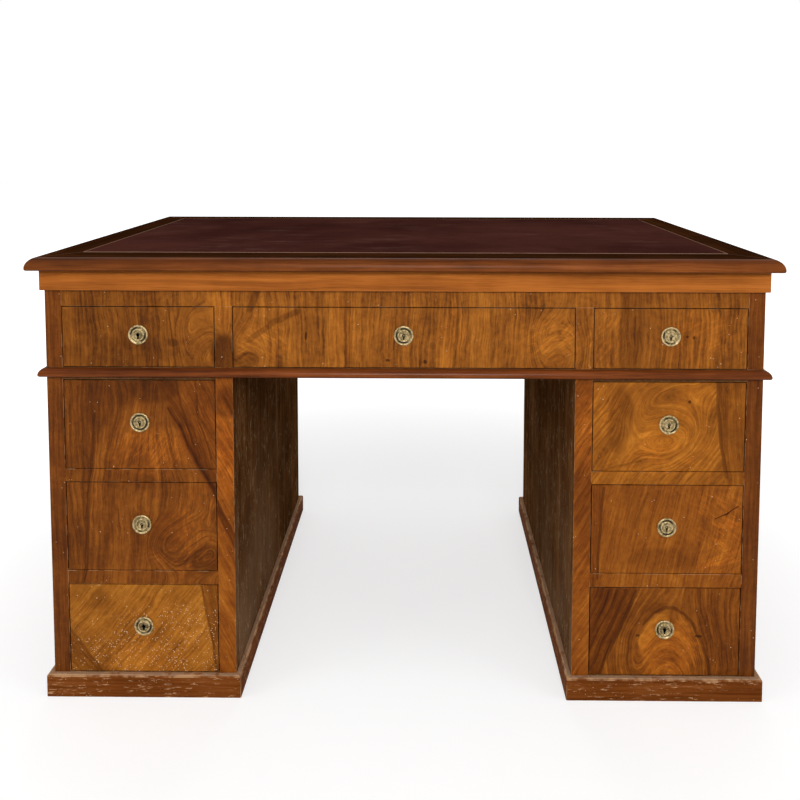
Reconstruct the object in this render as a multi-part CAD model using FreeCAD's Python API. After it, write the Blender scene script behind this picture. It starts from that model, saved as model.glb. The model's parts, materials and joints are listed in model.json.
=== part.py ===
import FreeCAD, Part
import math
import os
from collections import namedtuple
from FreeCAD import Vector

# A pedestal writing desk in veneered walnut. A top section with three drawers and a leather writing
# surface stands on two pedestals of three drawers each. Lengths are millimetres. X runs to the right,
# Y to the back and Z up, from the middle of the floor under the desk.

# Layout of the front
drawer_opening_width = 264.0
kneehole_width = 590.0
outer_stile_width = 28.0
inner_stile_width = 30.0
stile_depth = 22.0
carcass_depth = 654.0

# Heights of the front, from the floor up
plinth_height = 40.0
lower_opening_height = 160.5
lower_rail_height = 24.0
middle_opening_height = 160.0
upper_rail_height = 22.5
upper_opening_height = 159.0
pedestal_lip_height = 6.0
frieze_opening_height = 107.0
top_rail_height = 64.0

# Boards of the carcass
side_thickness = 20.0
divider_thickness = 20.0
pedestal_back_thickness = 14.0
pedestal_board_thickness = 18.0
frieze_back_thickness = 16.0
rail_depth = 60.0

# Plinth and applied mouldings
plinth_projection = 10.0
plinth_chamfer = 2.0
waist_projection = 11.0
waist_round = 4.0
fascia_height = 36.0
fascia_projection = 6.0

# Moulded top, its panel and the leather
top_overhang = 23.0
top_thickness = 22.0
top_lower_round = 3.0
top_nose_flat = 1.5
border_width = 70.0
tongue_length = 8.0
tongue_thickness = 7.0
tongue_rise = 7.0
leather_thickness = 2.0
leather_proud = 1.0
leather_edge_chamfer = 0.6

# Drawer supports inside the carcass
runner_width = 30.0
guide_height = 18.0
kicker_width = 20.0
kicker_height = 18.0
kicker_gap = 1.5
stop_width = 40.0
stop_depth = 12.0
stop_height = 5.0
stop_gap = 0.3
stop_spread = 130.0

# Blocks that locate the top section on the pedestals
block_width = 90.0
block_depth = 24.0
block_seat = 10.0
block_rise = 9.0
block_clearance = 0.5
block_inset = 90.0

# Drawers
drawer_gap = 1.8
runner_clearance = 0.3
drawer_front_thickness = 22.0
drawer_side_thickness = 10.0
drawer_back_thickness = 10.0
drawer_bottom_thickness = 6.0
drawer_rear_gap = 38.0
side_drop = 12.0
back_drop = 6.0
bottom_rise = 8.0
groove_depth = 5.0

# Dovetails of the drawers
lap_depth = 14.0
dovetail_pitch = 44.0
dovetail_rear_pitch = 60.0
tail_width_share = 0.74
tail_slope_share = 1 / 6

# Locks: the case is let into the back of the drawer front and its bolt rises into the rail above
keyhole_rise = 4.0
lock_case_width = 76.0
lock_case_thickness = 11.0
lock_case_drop = 24.0
bolt_width = 14.0
bolt_thickness = 5.0
bolt_foot_rise = 12.0
bolt_set_back = 0.5
bolt_throw = 7.0
bolt_clearance = 0.3
mortise_clearance = 2.0
keyhole_radius = 3.2
keyhole_slot_width = 3.0
keyhole_slot_length = 9.0
key_way_margin = 0.8
key_pocket_depth = 6.0

# Escutcheons: a turned brass disc with a raised rim round a flat field, which the keyhole pierces
escutcheon_radius = 17.0
rim_height = 2.8
rim_width = 3.8
field_height = 1.6

# How far a cutting tool runs past what it cuts
overrun = 5.0

# Places worked out from the sizes above
pedestal_width = outer_stile_width + drawer_opening_width + inner_stile_width
carcass_width = kneehole_width + 2 * pedestal_width
half_width = carcass_width / 2
front_y = -carcass_depth / 2
rear_y = carcass_depth / 2
stile_back_y = front_y + stile_depth
frieze_bottom_thickness = waist_projection + waist_round

lower_floor = plinth_height
lower_ceiling = lower_floor + lower_opening_height
middle_floor = lower_ceiling + lower_rail_height
middle_ceiling = middle_floor + middle_opening_height
upper_floor = middle_ceiling + upper_rail_height
upper_ceiling = upper_floor + upper_opening_height
pedestal_height = upper_ceiling + pedestal_lip_height
frieze_floor = pedestal_height + frieze_bottom_thickness
frieze_ceiling = frieze_floor + frieze_opening_height
frieze_height = frieze_ceiling + top_rail_height
top_height = frieze_height + top_thickness

drawer_back_y = front_y + drawer_front_thickness
drawer_end_y = rear_y - frieze_back_thickness - drawer_rear_gap
bolt_y = drawer_back_y - lock_case_thickness / 2

pedestal_levels = (
    ("lower", lower_floor, lower_ceiling),
    ("middle", middle_floor, middle_ceiling),
    ("upper", upper_floor, upper_ceiling),
)
pedestal_sides = (("left", -1), ("right", 1))

Bay = namedtuple("Bay", "name centre width floor ceiling")


def box(x0, x1, y0, y1, z0, z1):
    """Block between two corners, whichever way round the X values come."""
    low, high = min(x0, x1), max(x0, x1)
    return Part.makeBox(high - low, y1 - y0, z1 - z0, Vector(low, y0, z0))


def plan_prism(points, z0, z1):
    """Solid of a plan outline, from one height to another."""
    outline = Part.makePolygon([Vector(x, y, z0) for x, y in points + points[:1]])
    return Part.Face(outline).extrude(Vector(0, 0, z1 - z0))


def side_prism(points, x0, x1):
    """Solid of an outline drawn in the YZ plane, from one X to another."""
    outline = Part.makePolygon([Vector(x0, y, z) for y, z in points + points[:1]])
    return Part.Face(outline).extrude(Vector(x1 - x0, 0, 0))


def section_line(start, end):
    """Straight edge of a moulding section, in the YZ plane."""
    return Part.LineSegment(Vector(0, *start), Vector(0, *end)).toShape()


def section_arc(centre, radius, start_angle, end_angle):
    """Round edge of a moulding section in the YZ plane, with angles in degrees from +Y."""
    points = []
    for angle in (start_angle, (start_angle + end_angle) / 2, end_angle):
        turn = math.radians(angle)
        points.append(Vector(0, centre[0] + radius * math.cos(turn), centre[1] + radius * math.sin(turn)))
    return Part.Arc(*points).toShape()


def mitred_frame(width, depth, member, section, base, centre=0.0):
    """Four members of one section, whose outer edge is at y = 0, mitred round a rectangle."""
    height = section.BoundBox.ZMax
    quarters = ((0, width, depth), (90, depth, width), (180, width, depth), (270, depth, width))
    pieces = []
    for turn, length, reach in quarters:
        half, edge = length / 2, -reach / 2
        bar = section.extrude(Vector(length, 0, 0)).translated(Vector(-half, edge, base))
        ends = [(-half, edge), (half, edge), (half - member, edge + member), (-half + member, edge + member)]
        piece = bar.common(plan_prism(ends, base - overrun, base + height + overrun))
        piece.rotate(Vector(0, 0, 0), Vector(0, 0, 1), turn)
        pieces.append(piece.translated(Vector(centre, 0, 0)))
    return pieces


def drawer_bays():
    """The nine drawer openings of the front."""
    bays = []
    reach = half_width - outer_stile_width - drawer_opening_width / 2
    for side, sign in pedestal_sides:
        for level, floor, ceiling in pedestal_levels:
            bays.append(Bay(f"{side}_{level}", sign * reach, drawer_opening_width, floor, ceiling))
        bays.append(Bay(f"frieze_{side}", sign * reach, drawer_opening_width, frieze_floor, frieze_ceiling))
    bays.append(Bay("frieze_centre", 0.0, kneehole_width, frieze_floor, frieze_ceiling))
    return bays


def bolt_mortises(bays):
    """Cutters for the holes that the lock bolts rise into."""
    half_x = bolt_width / 2 + mortise_clearance
    half_y = bolt_thickness / 2 + mortise_clearance
    cutters = []
    for bay in bays:
        left, right = bay.centre - half_x, bay.centre + half_x
        low, high = bay.ceiling - overrun, bay.ceiling + bolt_throw
        cutters.append(box(left, right, bolt_y - half_y, bolt_y + half_y, low, high))
    return cutters


def locating_blocks(margin=0.0):
    """Blocks let into the pedestals, which the top section drops over, or the recesses that take them."""
    half_x, half_y = block_width / 2 + margin, block_depth / 2 + margin
    low, high = pedestal_height - block_seat, pedestal_height + block_rise + margin
    blocks = []
    for sign in (-1, 1):
        x = sign * (half_width - pedestal_width / 2)
        for y in (front_y + block_inset, rear_y - block_inset):
            blocks.append(box(x - half_x, x + half_x, y - half_y, y + half_y, low, high))
    return blocks


# The top: a moulded border mitred round a panel, with leather let into it

def top_border_section():
    """Thumb-moulded edge board, seen end on."""
    nose = top_thickness - top_lower_round - top_nose_flat
    edges = [
        section_line((border_width, 0), (top_lower_round, 0)),
        section_arc((top_lower_round, top_lower_round), top_lower_round, 270, 180),
        section_line((0, top_lower_round), (0, top_lower_round + top_nose_flat)),
        section_arc((nose, top_thickness - nose), nose, 180, 90),
        section_line((nose, top_thickness), (border_width, top_thickness)),
        section_line((border_width, top_thickness), (border_width, 0)),
    ]
    return Part.Face(Part.Wire(edges))


def top_panel():
    """Panel inside the border, with a tongue all round."""
    half_x = half_width + top_overhang - border_width
    half_y = rear_y + top_overhang - border_width
    high = top_height + leather_proud - leather_thickness
    board = box(-half_x, half_x, -half_y, half_y, frieze_height, high)
    reach_x, reach_y = half_x + tongue_length, half_y + tongue_length
    low = frieze_height + tongue_rise
    tongue = box(-reach_x, reach_x, -reach_y, reach_y, low, low + tongue_thickness)
    return board.fuse(tongue).removeSplitter()


def top_border(panel):
    width, depth = carcass_width + 2 * top_overhang, carcass_depth + 2 * top_overhang
    members = mitred_frame(width, depth, border_width, top_border_section(), frieze_height)
    return [member.cut(panel) for member in members]


def leather_inset():
    """Leather glued to the panel, standing a little proud of the border."""
    half_x = half_width + top_overhang - border_width
    half_y = rear_y + top_overhang - border_width
    high = top_height + leather_proud
    sheet = box(-half_x, half_x, -half_y, half_y, high - leather_thickness, high)
    upper = [edge for edge in sheet.Edges if edge.BoundBox.ZMin > high - leather_thickness / 2]
    return sheet.makeChamfer(leather_edge_chamfer, upper)


# The top section's carcass

def fascia_band():
    """Flat band under the top, mitred round the carcass."""
    face = [(0, 0), (fascia_projection, 0), (fascia_projection, fascia_height), (0, fascia_height)]
    section = Part.Face(Part.makePolygon([Vector(0, *point) for point in face + face[:1]]))
    width, depth = carcass_width + 2 * fascia_projection, carcass_depth + 2 * fascia_projection
    return mitred_frame(width, depth, fascia_projection, section, frieze_height - fascia_height)


def waist_moulding():
    """Ovolo moulding round the edge of the bottom board, with a rounded lower lip."""
    edges = [
        section_line((waist_projection, 0), (waist_round, 0)),
        section_arc((waist_round, waist_round), waist_round, 270, 180),
        section_arc((waist_projection, waist_round), waist_projection, 180, 90),
        section_line((waist_projection, frieze_bottom_thickness), (waist_projection, 0)),
    ]
    section = Part.Face(Part.Wire(edges))
    width, depth = carcass_width + 2 * waist_projection, carcass_depth + 2 * waist_projection
    return mitred_frame(width, depth, waist_projection, section, pedestal_height)


def frieze_bottom(mortises):
    board = box(-half_width, half_width, front_y, rear_y, pedestal_height, frieze_floor)
    return board.cut(mortises + locating_blocks(block_clearance))


def frieze_ends():
    inner = half_width - side_thickness
    pieces = []
    for sign in (-1, 1):
        pieces.append(box(sign * inner, sign * half_width, stile_back_y, rear_y, frieze_floor, frieze_height))
    return pieces


def frieze_back():
    inner = half_width - side_thickness
    return box(-inner, inner, rear_y - frieze_back_thickness, rear_y, frieze_floor, frieze_height)


def frieze_face_frame(mortises):
    """Top rail, end stiles and the two short stiles between the drawers."""
    end = half_width - outer_stile_width
    pieces = [box(-end, end, front_y, stile_back_y, frieze_ceiling, frieze_height).cut(mortises)]
    stile = kneehole_width / 2
    for sign in (-1, 1):
        pieces.append(box(sign * end, sign * half_width, front_y, stile_back_y, frieze_floor, frieze_height))
        outer = sign * (stile + inner_stile_width)
        pieces.append(box(sign * stile, outer, front_y, stile_back_y, frieze_floor, frieze_ceiling))
    return pieces


def frieze_dividers():
    """Boards behind the short stiles, between the drawers."""
    middle = kneehole_width / 2 + inner_stile_width / 2
    inner, outer = middle - divider_thickness / 2, middle + divider_thickness / 2
    end = rear_y - frieze_back_thickness
    pieces = []
    for sign in (-1, 1):
        pieces.append(box(sign * inner, sign * outer, stile_back_y, end, frieze_floor, frieze_height))
    return pieces


def frieze_drawer_supports():
    """Guide strips beside the frieze drawers and kickers over their sides."""
    middle = kneehole_width / 2 + inner_stile_width / 2
    inner, outer = middle - divider_thickness / 2, middle + divider_thickness / 2
    end, rear = half_width - side_thickness, rear_y - frieze_back_thickness
    side_top = frieze_ceiling - drawer_gap - side_drop
    low = side_top + kicker_gap
    pieces = []
    for sign in (-1, 1):
        guides = (
            (end, half_width - outer_stile_width),
            (outer, kneehole_width / 2 + inner_stile_width),
            (inner, kneehole_width / 2),
        )
        for start, stop in guides:
            high = frieze_floor + guide_height
            pieces.append(box(sign * start, sign * stop, stile_back_y, rear, frieze_floor, high))
        for wall, inward in ((end, -1), (outer, 1), (inner, -1)):
            stop = wall + inward * kicker_width
            pieces.append(box(sign * wall, sign * stop, stile_back_y, rear, low, low + kicker_height))
    return pieces


# The pedestals. Each is built from the outside of the desk inwards: sign is -1 on the left and 1 on the right

def pedestal_outer_side(sign):
    inner = half_width - side_thickness
    return box(sign * inner, sign * half_width, stile_back_y, rear_y, 0, pedestal_height)


def pedestal_inner_side(sign):
    inner = kneehole_width / 2
    return box(sign * inner, sign * (inner + side_thickness), stile_back_y, rear_y, 0, pedestal_height)


def pedestal_inside(sign):
    """X of the inner faces of a pedestal's outer and inner sides."""
    return sign * (half_width - side_thickness), sign * (kneehole_width / 2 + side_thickness)


def pedestal_opening(sign):
    """X of the drawer opening's outer and inner edges."""
    return sign * (half_width - outer_stile_width), sign * (kneehole_width / 2 + inner_stile_width)


def pedestal_back(sign):
    outer, inner = pedestal_inside(sign)
    low = plinth_height - pedestal_board_thickness
    return box(outer, inner, rear_y - pedestal_back_thickness, rear_y, low, pedestal_height)


def notched_board(sign, end_y, low, high):
    """Board from the face of a pedestal to end_y, narrowed in front to fit between the stiles."""
    outer, inner = pedestal_inside(sign)
    edge_out, edge_in = pedestal_opening(sign)
    outline = [
        (edge_out, front_y), (edge_in, front_y), (edge_in, stile_back_y), (inner, stile_back_y),
        (inner, end_y), (outer, end_y), (outer, stile_back_y), (edge_out, stile_back_y),
    ]
    return plan_prism(outline, low, high)


def pedestal_boards(sign, mortises):
    """Bottom board, and the top board with a thin lip that runs out over the upper drawer front."""
    end_y = rear_y - pedestal_back_thickness
    bottom = notched_board(sign, end_y, plinth_height - pedestal_board_thickness, plinth_height)
    lip = notched_board(sign, end_y, upper_ceiling, pedestal_height)
    outer, inner = pedestal_inside(sign)
    start = drawer_back_y + drawer_gap
    low = pedestal_height - pedestal_board_thickness
    top = lip.fuse(box(outer, inner, start, end_y, low, upper_ceiling)).removeSplitter()
    return [bottom, top.cut(mortises + locating_blocks())]


def pedestal_face_frame(sign, mortises):
    """Two stiles and the two rails between the drawers."""
    edge_out, edge_in = pedestal_opening(sign)
    pieces = [
        box(edge_out, sign * half_width, front_y, stile_back_y, 0, pedestal_height),
        box(edge_in, sign * kneehole_width / 2, front_y, stile_back_y, 0, pedestal_height),
    ]
    for low, high in ((lower_ceiling, middle_floor), (middle_ceiling, upper_floor)):
        pieces.append(notched_board(sign, front_y + rail_depth, low, high).cut(mortises))
    return pieces


def pedestal_drawer_supports(sign):
    """Runners behind the rails, and guide strips that keep the drawers in line with the opening."""
    outer, inner = pedestal_inside(sign)
    edge_out, edge_in = pedestal_opening(sign)
    rear = rear_y - pedestal_back_thickness
    pieces = []
    for low, high in ((lower_ceiling, middle_floor), (middle_ceiling, upper_floor)):
        for wall, inward in ((outer, -sign), (inner, sign)):
            pieces.append(box(wall, wall + inward * runner_width, front_y + rail_depth, rear, low, high))
    for level, floor, ceiling in pedestal_levels:
        for wall, edge in ((outer, edge_out), (inner, edge_in)):
            pieces.append(box(wall, edge, stile_back_y, rear, floor, floor + guide_height))
    return pieces


def pedestal_plinth(sign):
    """Skirting mitred round the foot of a pedestal, with its upper edge chamfered."""
    face = [
        (0, 0), (plinth_projection, 0), (plinth_projection, plinth_height),
        (plinth_chamfer, plinth_height), (0, plinth_height - plinth_chamfer),
    ]
    section = Part.Face(Part.makePolygon([Vector(0, *point) for point in face + face[:1]]))
    width, depth = pedestal_width + 2 * plinth_projection, carcass_depth + 2 * plinth_projection
    return mitred_frame(width, depth, plinth_projection, section, 0, sign * (half_width - pedestal_width / 2))


def drawer_stops(bays):
    """Small blocks that a drawer front closes against, under the drawer's bottom."""
    start = drawer_back_y + stop_gap
    pieces = []
    for bay in bays:
        for middle in (bay.centre - stop_spread / 2, bay.centre + stop_spread / 2):
            left, right = middle - stop_width / 2, middle + stop_width / 2
            pieces.append(box(left, right, start, start + stop_depth, bay.floor, bay.floor + stop_height))
    return pieces


# The drawers

def tails(low, high, count, shoulder_y, end_y):
    """Outline of a row of dovetails that stand out from shoulder_y to end_y, from low to high."""
    pitch = (high - low) / count
    wide = pitch * tail_width_share / 2
    narrow = wide - abs(end_y - shoulder_y) * tail_slope_share
    points = []
    for index in range(count):
        middle = low + (index + 1 / 2) * pitch
        points += [(shoulder_y, middle - narrow), (end_y, middle - wide)]
        points += [(end_y, middle + wide), (shoulder_y, middle + narrow)]
    return points


def drawer_side_outline(side_low, side_high, back_low, back_high):
    """Side board: lapped tails in front, through tails behind, where the drawer's back comes in."""
    front_count = max(2, round((side_high - side_low) / dovetail_pitch))
    rear_count = max(2, round((back_high - back_low) / dovetail_rear_pitch))
    shoulder = drawer_end_y - drawer_back_thickness
    front = tails(side_low, side_high, front_count, drawer_back_y, drawer_back_y - lap_depth)
    rear = tails(back_low, back_high, rear_count, shoulder, drawer_end_y)
    outline = [(drawer_back_y, side_low)] + front + [(drawer_back_y, side_high), (drawer_end_y, side_high)]
    outline += [(drawer_end_y, back_high), (shoulder, back_high)] + rear[::-1]
    return outline + [(shoulder, back_low), (drawer_end_y, back_low), (drawer_end_y, side_low)]


def keyhole(x, z, start_y, end_y):
    """Keyhole cutter: a round hole with a slot below it."""
    bore = Part.makeCylinder(keyhole_radius, end_y - start_y, Vector(x, start_y, z), Vector(0, 1, 0))
    half = keyhole_slot_width / 2
    return bore.fuse(box(x - half, x + half, start_y, end_y, z - keyhole_slot_length, z))


def key_way(x, z, start_y, end_y):
    """Cutter for the square-cut way of the key behind the keyhole."""
    half = keyhole_radius + key_way_margin
    return box(x - half, x + half, start_y, end_y, z - keyhole_slot_length - key_way_margin, z + half)


def lock_case(x, z, high):
    """Blank that is let into the drawer front, and the case, which has the bolt's and the key's ways cut."""
    half = lock_case_width / 2
    start = drawer_back_y - lock_case_thickness
    blank = box(x - half, x + half, start, drawer_back_y, z - lock_case_drop, high)
    half_x, half_y = bolt_width / 2 + bolt_clearance, bolt_thickness / 2 + bolt_clearance
    foot = z + bolt_foot_rise - bolt_clearance
    channel = box(x - half_x, x + half_x, bolt_y - half_y, bolt_y + half_y, foot, high + overrun)
    pocket = key_way(x, z, start - overrun, start + key_pocket_depth)
    return blank, blank.cut([channel, pocket])


def lock_bolt(x, z, high):
    half_x, half_y = bolt_width / 2, bolt_thickness / 2
    low, top = z + bolt_foot_rise, high - bolt_set_back
    return box(x - half_x, x + half_x, bolt_y - half_y, bolt_y + half_y, low, top)


def escutcheon(x, z):
    """Turned disc on the face of a drawer front, pierced by the keyhole."""
    field_radius = escutcheon_radius - rim_width
    section = [
        (0, 0), (escutcheon_radius, 0), (escutcheon_radius, rim_height),
        (field_radius, rim_height), (field_radius, field_height), (0, field_height),
    ]
    points = [Vector(x + radius, front_y - height, z) for radius, height in section + section[:1]]
    disc = Part.Face(Part.makePolygon(points)).revolve(Vector(x, front_y, z), Vector(0, 1, 0), 360)
    return disc.cut(keyhole(x, z, front_y - rim_height - overrun, front_y + overrun))


def drawer(bay):
    """Front, box, lock and bolt of one drawer, closed in its opening."""
    left, right = bay.centre - bay.width / 2 + drawer_gap, bay.centre + bay.width / 2 - drawer_gap
    front_low, front_high = bay.floor + drawer_gap, bay.ceiling - drawer_gap
    side_low, side_high = bay.floor + runner_clearance, front_high - side_drop
    bottom_low = side_low + bottom_rise
    back_low, back_high = bottom_low + drawer_bottom_thickness, side_high - back_drop
    keyhole_z = (front_low + front_high) / 2 + keyhole_rise

    outline = drawer_side_outline(side_low, side_high, back_low, back_high)
    sides = [
        side_prism(outline, left, left + drawer_side_thickness),
        side_prism(outline, right - drawer_side_thickness, right),
    ]
    edge = drawer_side_thickness - groove_depth
    bottom = box(left + edge, right - edge, drawer_back_y - groove_depth, drawer_end_y, bottom_low, back_low)
    back_y = drawer_end_y - drawer_back_thickness
    back = box(left, right, back_y, drawer_end_y, back_low, back_high).cut(sides)
    blank, case = lock_case(bay.centre, keyhole_z, front_high)
    way = key_way(bay.centre, keyhole_z, front_y - overrun, drawer_back_y)
    front = box(left, right, front_y, drawer_back_y, front_low, front_high)
    front = front.cut(sides + [bottom, blank, way])
    return {
        "drawer_front": [front],
        "drawer_box": [side.cut(bottom) for side in sides] + [back, bottom],
        "lock": [case, escutcheon(bay.centre, keyhole_z)],
        "bolt": [lock_bolt(bay.centre, keyhole_z, front_high)],
    }


def desk_pieces():
    """Every node of the desk, by name, as a list of solids."""
    bays = drawer_bays()
    mortises = bolt_mortises(bays)
    panel = top_panel()
    pieces = {
        "top_border": top_border(panel),
        "top_panel": [panel],
        "leather_inset": [leather_inset()],
        "fascia_band": fascia_band(),
        "frieze_face_frame": frieze_face_frame(mortises),
        "frieze_ends": frieze_ends(),
        "frieze_back": [frieze_back()],
        "frieze_dividers": frieze_dividers(),
        "frieze_bottom": [frieze_bottom(mortises)],
        "waist_moulding": waist_moulding(),
        "drawer_runners": frieze_drawer_supports() + drawer_stops(bays),
        "locating_blocks": locating_blocks(),
    }
    for side, sign in pedestal_sides:
        pieces[f"{side}_outer_side"] = [pedestal_outer_side(sign)]
        pieces[f"{side}_inner_side"] = [pedestal_inner_side(sign)]
        pieces[f"{side}_back"] = [pedestal_back(sign)]
        pieces[f"{side}_boards"] = pedestal_boards(sign, mortises)
        pieces[f"{side}_face_frame"] = pedestal_face_frame(sign, mortises)
        pieces[f"{side}_plinth"] = pedestal_plinth(sign)
        pieces["drawer_runners"] += pedestal_drawer_supports(sign)
    for bay in bays:
        for part, solids in drawer(bay).items():
            pieces[f"{bay.name}_{part}"] = solids
    return pieces


def main():
    os.makedirs("parts", exist_ok=True)
    for name, solids in desk_pieces().items():
        Part.makeCompound(solids).exportStep(os.path.join("parts", name + ".step"))


main()
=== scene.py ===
import json
import math
import random

import bmesh
import bpy
from mathutils import Matrix, Vector, noise as soft_noise


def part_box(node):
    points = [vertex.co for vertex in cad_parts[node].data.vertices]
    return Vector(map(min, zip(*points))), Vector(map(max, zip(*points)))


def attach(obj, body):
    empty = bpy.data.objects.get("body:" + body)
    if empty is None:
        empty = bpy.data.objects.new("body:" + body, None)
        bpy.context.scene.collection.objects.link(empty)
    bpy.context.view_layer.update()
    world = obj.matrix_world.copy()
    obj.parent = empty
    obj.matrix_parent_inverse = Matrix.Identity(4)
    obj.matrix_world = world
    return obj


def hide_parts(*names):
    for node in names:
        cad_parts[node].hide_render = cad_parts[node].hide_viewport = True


# A pedestal writing desk in veneered walnut, dressed round its solids. Lengths are metres.
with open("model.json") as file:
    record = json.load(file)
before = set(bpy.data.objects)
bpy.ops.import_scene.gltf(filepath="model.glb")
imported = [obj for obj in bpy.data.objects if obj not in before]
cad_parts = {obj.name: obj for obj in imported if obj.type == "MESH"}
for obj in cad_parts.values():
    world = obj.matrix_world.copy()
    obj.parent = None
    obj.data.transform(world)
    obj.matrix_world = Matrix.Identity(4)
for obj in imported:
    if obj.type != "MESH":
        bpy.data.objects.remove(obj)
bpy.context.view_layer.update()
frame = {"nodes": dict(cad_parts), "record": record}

record = frame["record"]
body_of_node = {node: body for body, nodes in record["behaviour"]["bodies"].items() for node in nodes}

MM = 0.001
MERGE = 1e-6
FLAT_ANGLE = math.radians(1.0)
SHARP_ANGLE = math.radians(32.0)
LOG_LENGTH = 9
KNEEHOLE_HALF = -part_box("left_inner_side")[1].x
draws = random.Random(7)

# How far the edges of a piece are eased, and in how many steps
LINING_EASE = 0.4 * MM
THIN_EASE = 0.5 * MM
BOARD_EASE = 0.6 * MM
FRONT_EASE = 0.8 * MM
PLINTH_EASE = 1.2 * MM
EASE_STEPS = 2


# Shader values and nodes

# Sockets by which the Mix node takes and gives colours
MIX_FACTOR, MIX_UNDER, MIX_OVER, MIX_RESULT = 0, 6, 7, 2


def tone(red, green, blue):
    """Colour of a finish, from the values of a screen, as the shader takes it."""
    channels = []
    for value in (red, green, blue):
        share = value / 255
        channels.append(share / 12.92 if share <= 0.04045 else ((share + 0.055) / 1.055) ** 2.4)
    return (*channels, 1.0)


def tint(red, green, blue):
    """Factors that darken or warm a finish."""
    return (red, green, blue, 1.0)


class Wire:
    """A socket of a finish, on which Python's operators add Math nodes."""

    def __init__(self, tree, socket=None):
        self.tree = tree
        self.socket = socket

    def node(self, kind, settings=(), sockets=(), output=0):
        """Adds a node, with its settings first and then the value or link of each socket.

        Gives the wire of one output, or a list of wires where several outputs are asked for.
        """
        made = self.tree.nodes.new(kind)
        for name, value in dict(settings).items():
            if name == "stops":
                for spare in list(made.color_ramp.elements)[1:]:
                    made.color_ramp.elements.remove(spare)
                made.color_ramp.elements[0].position, made.color_ramp.elements[0].color = value[0]
                for place, colour in value[1:]:
                    made.color_ramp.elements.new(place).color = colour
            else:
                setattr(made, name, value)
        for name, value in dict(sockets).items():
            if isinstance(value, Wire):
                self.tree.links.new(value.socket, made.inputs[name])
            else:
                made.inputs[name].default_value = value
        if isinstance(output, tuple):
            return [Wire(self.tree, made.outputs[name]) for name in output]
        return Wire(self.tree, made.outputs[output] if made.outputs else None)

    def math(self, operation, *values):
        return self.node("ShaderNodeMath", {"operation": operation}, enumerate(values))

    def __add__(self, other):
        return self.math("ADD", self, other)

    def __radd__(self, other):
        return self.math("ADD", other, self)

    def __sub__(self, other):
        return self.math("SUBTRACT", self, other)

    def __rsub__(self, other):
        return self.math("SUBTRACT", other, self)

    def __mul__(self, other):
        return self.math("MULTIPLY", self, other)

    def __rmul__(self, other):
        return self.math("MULTIPLY", other, self)

    def __truediv__(self, other):
        return self.math("DIVIDE", self, other)

    def __rtruediv__(self, other):
        return self.math("DIVIDE", other, self)

    def __pow__(self, other):
        return self.math("POWER", self, other)

    def __abs__(self):
        return self.math("ABSOLUTE", self)

    def most(self, other):
        return self.math("MAXIMUM", self, other)


def rise(value, low, high):
    """0 up to low and 1 from high on, with a smooth step between, either way round."""
    return value.node(
        "ShaderNodeMapRange", {"interpolation_type": "SMOOTHSTEP"},
        {"Value": value, "From Min": low, "From Max": high},
    )


def mixed(factor, under, over, way="MIX"):
    """Two colours, the second laid over the first."""
    sockets = {MIX_FACTOR: factor, MIX_UNDER: under, MIX_OVER: over}
    return factor.node("ShaderNodeMix", {"data_type": "RGBA", "blend_type": way}, sockets, MIX_RESULT)


def noise(place, scale, detail=2.0, roughness=0.5, output=0):
    sockets = {"Vector": place, "Scale": scale, "Detail": detail, "Roughness": roughness}
    return place.node("ShaderNodeTexNoise", {"noise_dimensions": "3D"}, sockets, output)


def mapped(place, scale, turn=(0, 0, 0)):
    return place.node("ShaderNodeMapping", {}, {"Vector": place, "Scale": scale, "Rotation": turn})


def shifted(place, scale, amount, detail=2.0):
    """The place moved about by a soft noise, so that figure drawn on it wanders."""
    cloud = noise(place, scale, detail, output=1)
    centred = place.node("ShaderNodeVectorMath", {"operation": "SUBTRACT"}, {0: cloud, 1: (0.5, 0.5, 0.5)})
    moves = {0: centred, 1: (amount, amount, amount), 2: place}
    return place.node("ShaderNodeVectorMath", {"operation": "MULTIPLY_ADD"}, moves)


def split(vector):
    return vector.node("ShaderNodeSeparateXYZ", {}, {0: vector}, (0, 1, 2))


def joined(x, y, z):
    return x.node("ShaderNodeCombineXYZ", {}, {0: x, 1: y, 2: z})


def new_finish(name):
    """An empty material, as the wire that its nodes start from."""
    finish = bpy.data.materials.new(name)
    finish.use_nodes = True
    finish.node_tree.nodes.clear()
    return finish, Wire(finish.node_tree)


def surfaced(start, colour, roughness, bump, depth, strength, **fixed):
    """Principled surface of a finish. What is fixed goes straight to the shader's own sockets."""
    relief = start.node("ShaderNodeBump", {}, {"Height": bump, "Strength": strength, "Distance": depth})
    sockets = {"Base Color": colour, "Roughness": roughness, "Normal": relief}
    sockets.update({name.replace("_", " "): value for name, value in fixed.items()})
    shader = start.node("ShaderNodeBsdfPrincipled", {}, sockets)
    start.node("ShaderNodeOutputMaterial", {}, {"Surface": shader})


def object_place(start):
    return start.node("ShaderNodeTexCoord", {}, {}, "Object")


def marked(start, name, output):
    """An attribute that a piece carries: its grain, its worn edges or its grooves."""
    return start.node("ShaderNodeAttribute", {"attribute_name": name}, {}, output)


def facing_up(start):
    """How far the surface looks up."""
    return split(start.node("ShaderNodeNewGeometry", {}, {}, "Normal"))[2]


def specks(place, scale, share, size):
    """Small chips and spots, scattered in drifts over a share of the places that they could be."""
    cells = {"Vector": shifted(place, scale * 0.7, 0.5 / scale), "Scale": scale}
    near, cell = place.node("ShaderNodeTexVoronoi", {}, cells, ("Distance", "Color"))
    drift = noise(place, CHIP_DRIFTS, 2.0)
    pick = split(cell)[0] + (drift - 0.5) * 0.9
    return rise(near, size, size * 0.45) * rise(pick, 1 - share, 1.04 - share)


# Veneer figure, drawn on the front of the desk in X and Z

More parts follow.
